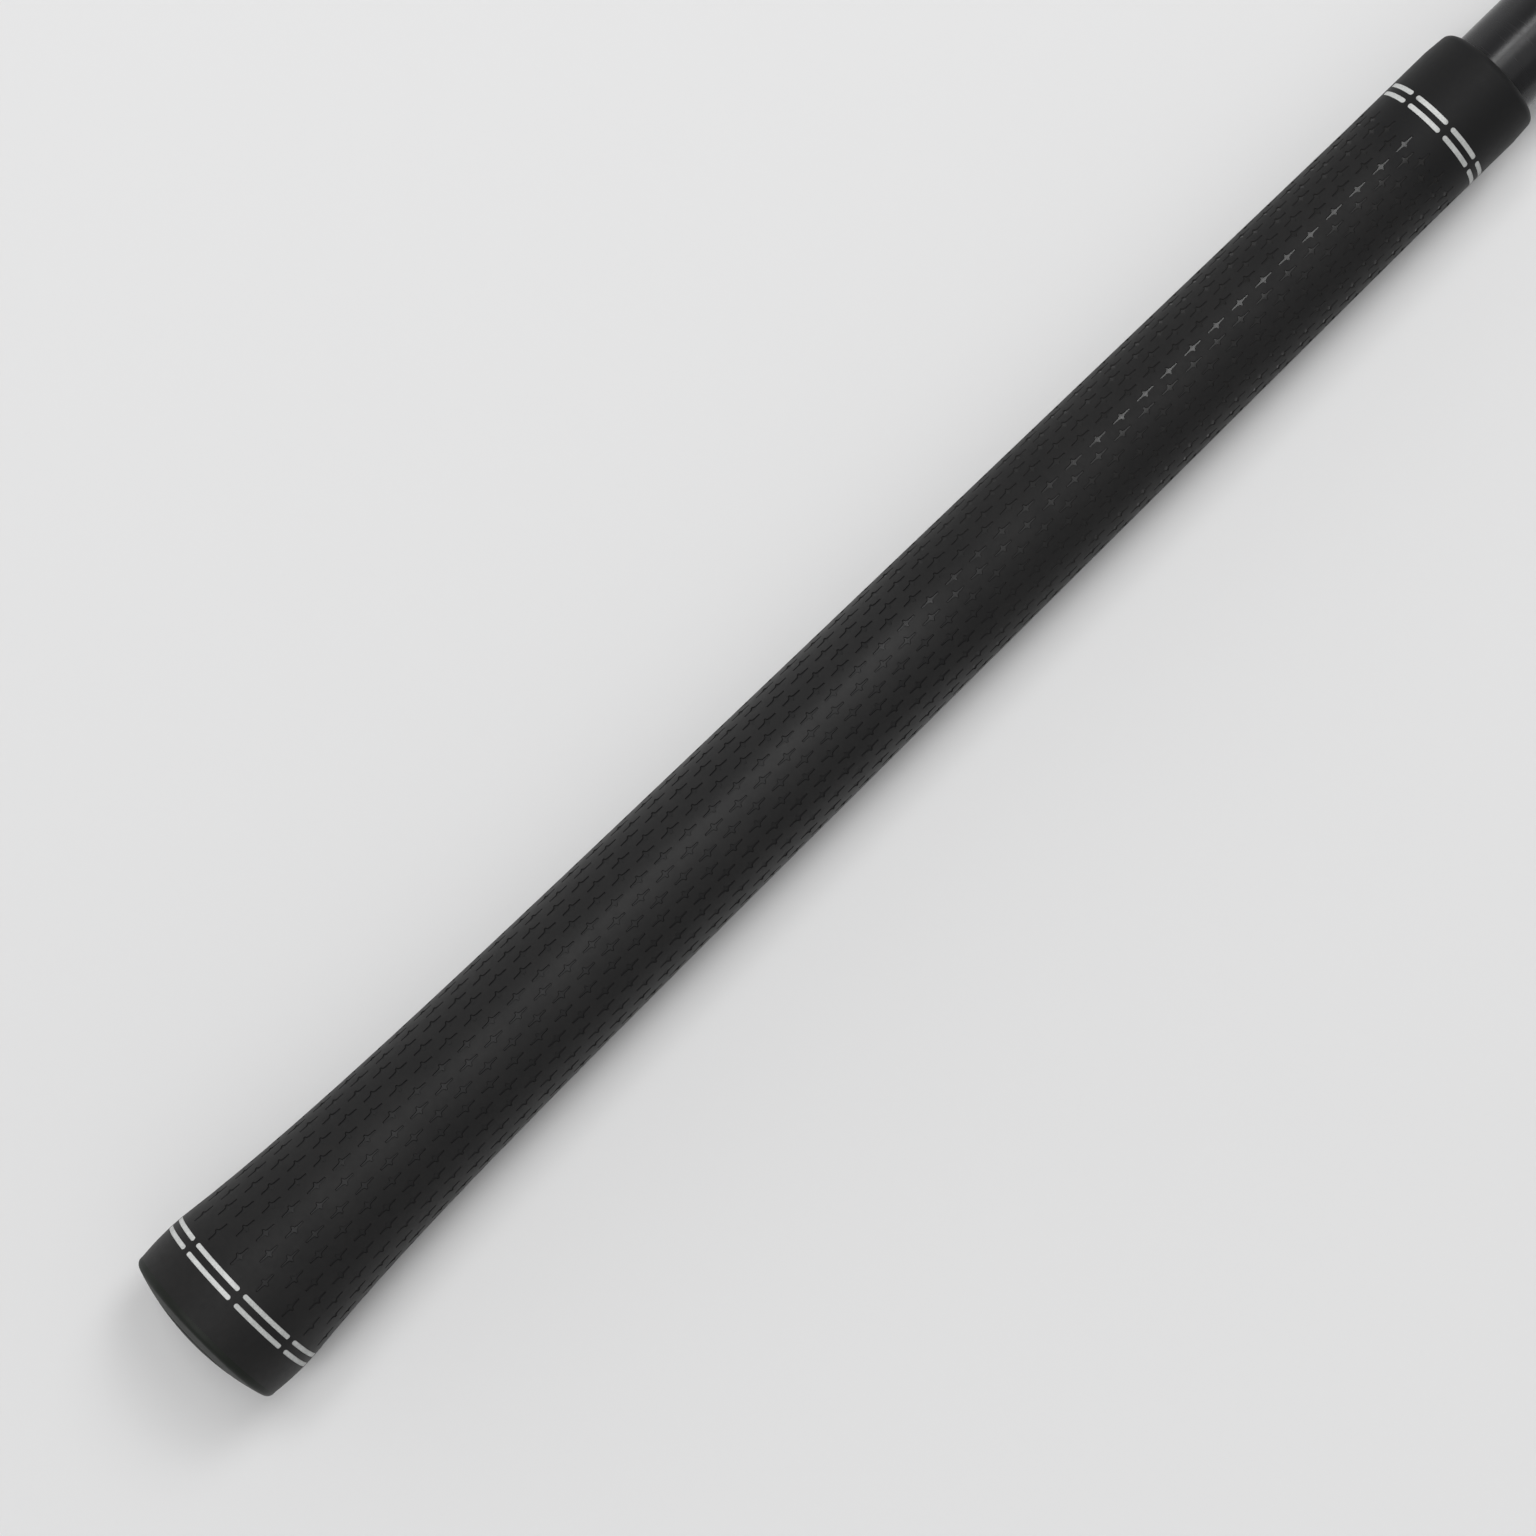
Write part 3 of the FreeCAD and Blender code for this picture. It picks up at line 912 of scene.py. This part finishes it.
def tape_paper():
    """Crepe paper of the two-sided tape: cream, with fine crosswise wrinkles."""
    finish, shader, place = new_finish("tape_paper")
    wrinkles = finish.node_tree.nodes.new("ShaderNodeTexWave")
    wrinkles.bands_direction = "X"
    wrinkles.inputs["Scale"].default_value = 1 / (6 * MM)
    wrinkles.inputs["Distortion"].default_value = 4.0
    wrinkles.inputs["Detail"].default_value = 3.0
    link(finish, place.outputs["Object"], wrinkles.inputs["Vector"])
    clouds = grain(finish, place, 4 * MM, 4.0, 0.6)
    link(finish, ramp(finish, clouds, (0.50, 0.43, 0.30), (0.66, 0.59, 0.45), 0.3, 0.7),
         shader.inputs["Base Color"])
    link(finish, levels(finish, clouds, 0.3, 0.7, 0.75, 0.6), shader.inputs["Roughness"])
    link(finish, relief(finish, wrinkles.outputs["Fac"], 0.06 * MM, 0.5), shader.inputs["Normal"])
    return finish


def wear(piece, finish):
    """Put a finish on a whole piece, in place of what it had."""
    piece.data.materials.clear()
    piece.data.materials.append(finish)


# ------------------------------------------------------------------------------ stage, light, camera

def pale_floor():
    """A pale floor that the grip lies on, with painted light: lighter towards the mouth end and the +Y
    side, with faint cloudy patches.
    """
    let_go()
    bpy.ops.mesh.primitive_grid_add(x_subdivisions=4, y_subdivisions=4, size=FLOOR_SIZE,
                                    location=FLOOR_MIDDLE)
    floor = name_piece("studio_floor")
    finish, shader, place = new_finish("pale_floor")
    turn = finish.node_tree.nodes.new("ShaderNodeMapping")
    turn.inputs["Rotation"].default_value = (0, 0, FLOOR_TURN)
    parts = finish.node_tree.nodes.new("ShaderNodeSeparateXYZ")
    link(finish, place.outputs["Object"], turn.inputs["Vector"])
    link(finish, turn.outputs["Vector"], parts.inputs["Vector"])
    clouds = grain(finish, place, 300 * MM, 2.0, 0.5)
    # Painted light: the floor lightens along its turned X, towards the mouth end and the +Y side.
    spread = combine(finish, "ADD", levels(finish, parts.outputs["X"], *FLOOR_PAINTED_LIGHT, 0.0, 0.9),
                     combine(finish, "MULTIPLY", clouds, 0.1))
    link(finish, ramp(finish, spread, (0.763, 0.763, 0.765), (0.850, 0.850, 0.852)),
         shader.inputs["Base Color"])
    shader.inputs["Roughness"].default_value = 0.9
    shader.inputs["Specular IOR Level"].default_value = 0.1
    wear(floor, finish)


def soft_surroundings():
    """White light all round: even from above, and stronger from low down on the +Y side."""
    world = bpy.data.worlds.new("soft_light")
    world.use_nodes = True
    nodes = world.node_tree.nodes
    links = world.node_tree.links
    direction = nodes.new("ShaderNodeTexCoord")
    parts = nodes.new("ShaderNodeSeparateXYZ")
    low = nodes.new("ShaderNodeMapRange")
    low.inputs["From Min"].default_value = 0.0
    low.inputs["From Max"].default_value = 0.7
    low.inputs["To Min"].default_value = SIDE_LIGHT - CEILING_LIGHT
    low.inputs["To Max"].default_value = 0.0
    sideways = nodes.new("ShaderNodeMapRange")
    sideways.inputs["From Min"].default_value = 0.0
    sideways.inputs["From Max"].default_value = 1.0
    at_side = nodes.new("ShaderNodeMath")
    at_side.operation = "MULTIPLY_ADD"
    at_side.inputs[2].default_value = CEILING_LIGHT
    links.new(direction.outputs["Generated"], parts.inputs["Vector"])
    links.new(parts.outputs["Z"], low.inputs["Value"])
    links.new(parts.outputs["Y"], sideways.inputs["Value"])
    links.new(low.outputs["Result"], at_side.inputs[0])
    links.new(sideways.outputs["Result"], at_side.inputs[1])
    links.new(at_side.outputs["Value"], nodes["Background"].inputs["Strength"])
    nodes["Background"].inputs["Color"].default_value = (1, 1, 1, 1)
    bpy.context.scene.world = world


def soft_lamp(name, lean_x, lean_y, spread, strength):
    """A distant lamp that leans so many degrees from upright and looks so many degrees wide."""
    toward = Vector((math.tan(math.radians(lean_x)), math.tan(math.radians(lean_y)), 1))
    lamp = bpy.data.lights.new(name, "SUN")
    lamp.angle = math.radians(spread)
    lamp.energy = strength
    holder = bpy.data.objects.new(name, lamp)
    holder.rotation_euler = toward.to_track_quat("Z", "Y").to_euler()
    bpy.context.scene.collection.objects.link(holder)


def camera():
    """Looks down on the grip, turned so that it runs from the lower left to the upper right."""
    across = Vector((math.cos(EYE_TILT), 0, math.sin(EYE_TILT)))
    view = Vector((math.sin(EYE_TILT), 0, -math.cos(EYE_TILT)))
    side = Vector((0, 1, 0))
    right = across * math.cos(EYE_ROLL) - side * math.sin(EYE_ROLL)
    up = across * math.sin(EYE_ROLL) + side * math.cos(EYE_ROLL)
    data = bpy.data.cameras.new("camera")
    data.sensor_width = 36
    data.lens = EYE_LENS
    data.clip_start = 0.05
    data.clip_end = 20
    eye = bpy.data.objects.new("camera", data)
    turn = Matrix((right, up, -view)).transposed().to_4x4()
    eye.matrix_world = Matrix.Translation(EYE) @ turn
    bpy.context.scene.collection.objects.link(eye)
    bpy.context.scene.camera = eye


# ------------------------------------------------------------------------------ the grip

worn_rubber()
moulded_rubber()
painted_shade_walls()
sleeve = rubber_sleeve()
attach(sleeve, "root")
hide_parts("grip_sleeve")

cap = end_cap()
wear(cap, cap_rubber())
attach(cap, "root")
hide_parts("butt_cap")

shaft = shaft_end()
wear(shaft, shaft_paint())
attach(shaft, "root")
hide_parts("club_shaft")

white = ring_enamel()
BUTT_DASHES = (BUTT_RADIUS, BUTT_DASH_WIDTH, BUTT_DASH_GAP, 0)
MOUTH_DASHES = (MOUTH_RADIUS, MOUTH_DASH_WIDTH, MOUTH_DASH_GAP, INSTALLED_TWIST)
RING_PAINTS = (
    ("butt_ring_outer_paint", BUTT_RINGS[0], BUTT_DASHES),
    ("butt_ring_inner_paint", BUTT_RINGS[1], BUTT_DASHES),
    ("mouth_ring_inner_paint", MOUTH_RINGS[0], MOUTH_DASHES),
    ("mouth_ring_outer_paint", MOUTH_RINGS[1], MOUTH_DASHES),
)
for node, x, shape in RING_PAINTS:
    dashes = paint_ring("dashes_of_" + node.replace("_paint", ""), x, *shape)
    wear(dashes, white)
    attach(dashes, "root")
    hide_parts(node)

wear(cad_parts["grip_tape"], tape_paper())

pale_floor()
soft_surroundings()
for name, lean_x, lean_y, spread, strength in LAMPS:
    soft_lamp(name, lean_x, lean_y, spread, strength)
camera()
bpy.context.scene.view_settings.view_transform = "Standard"
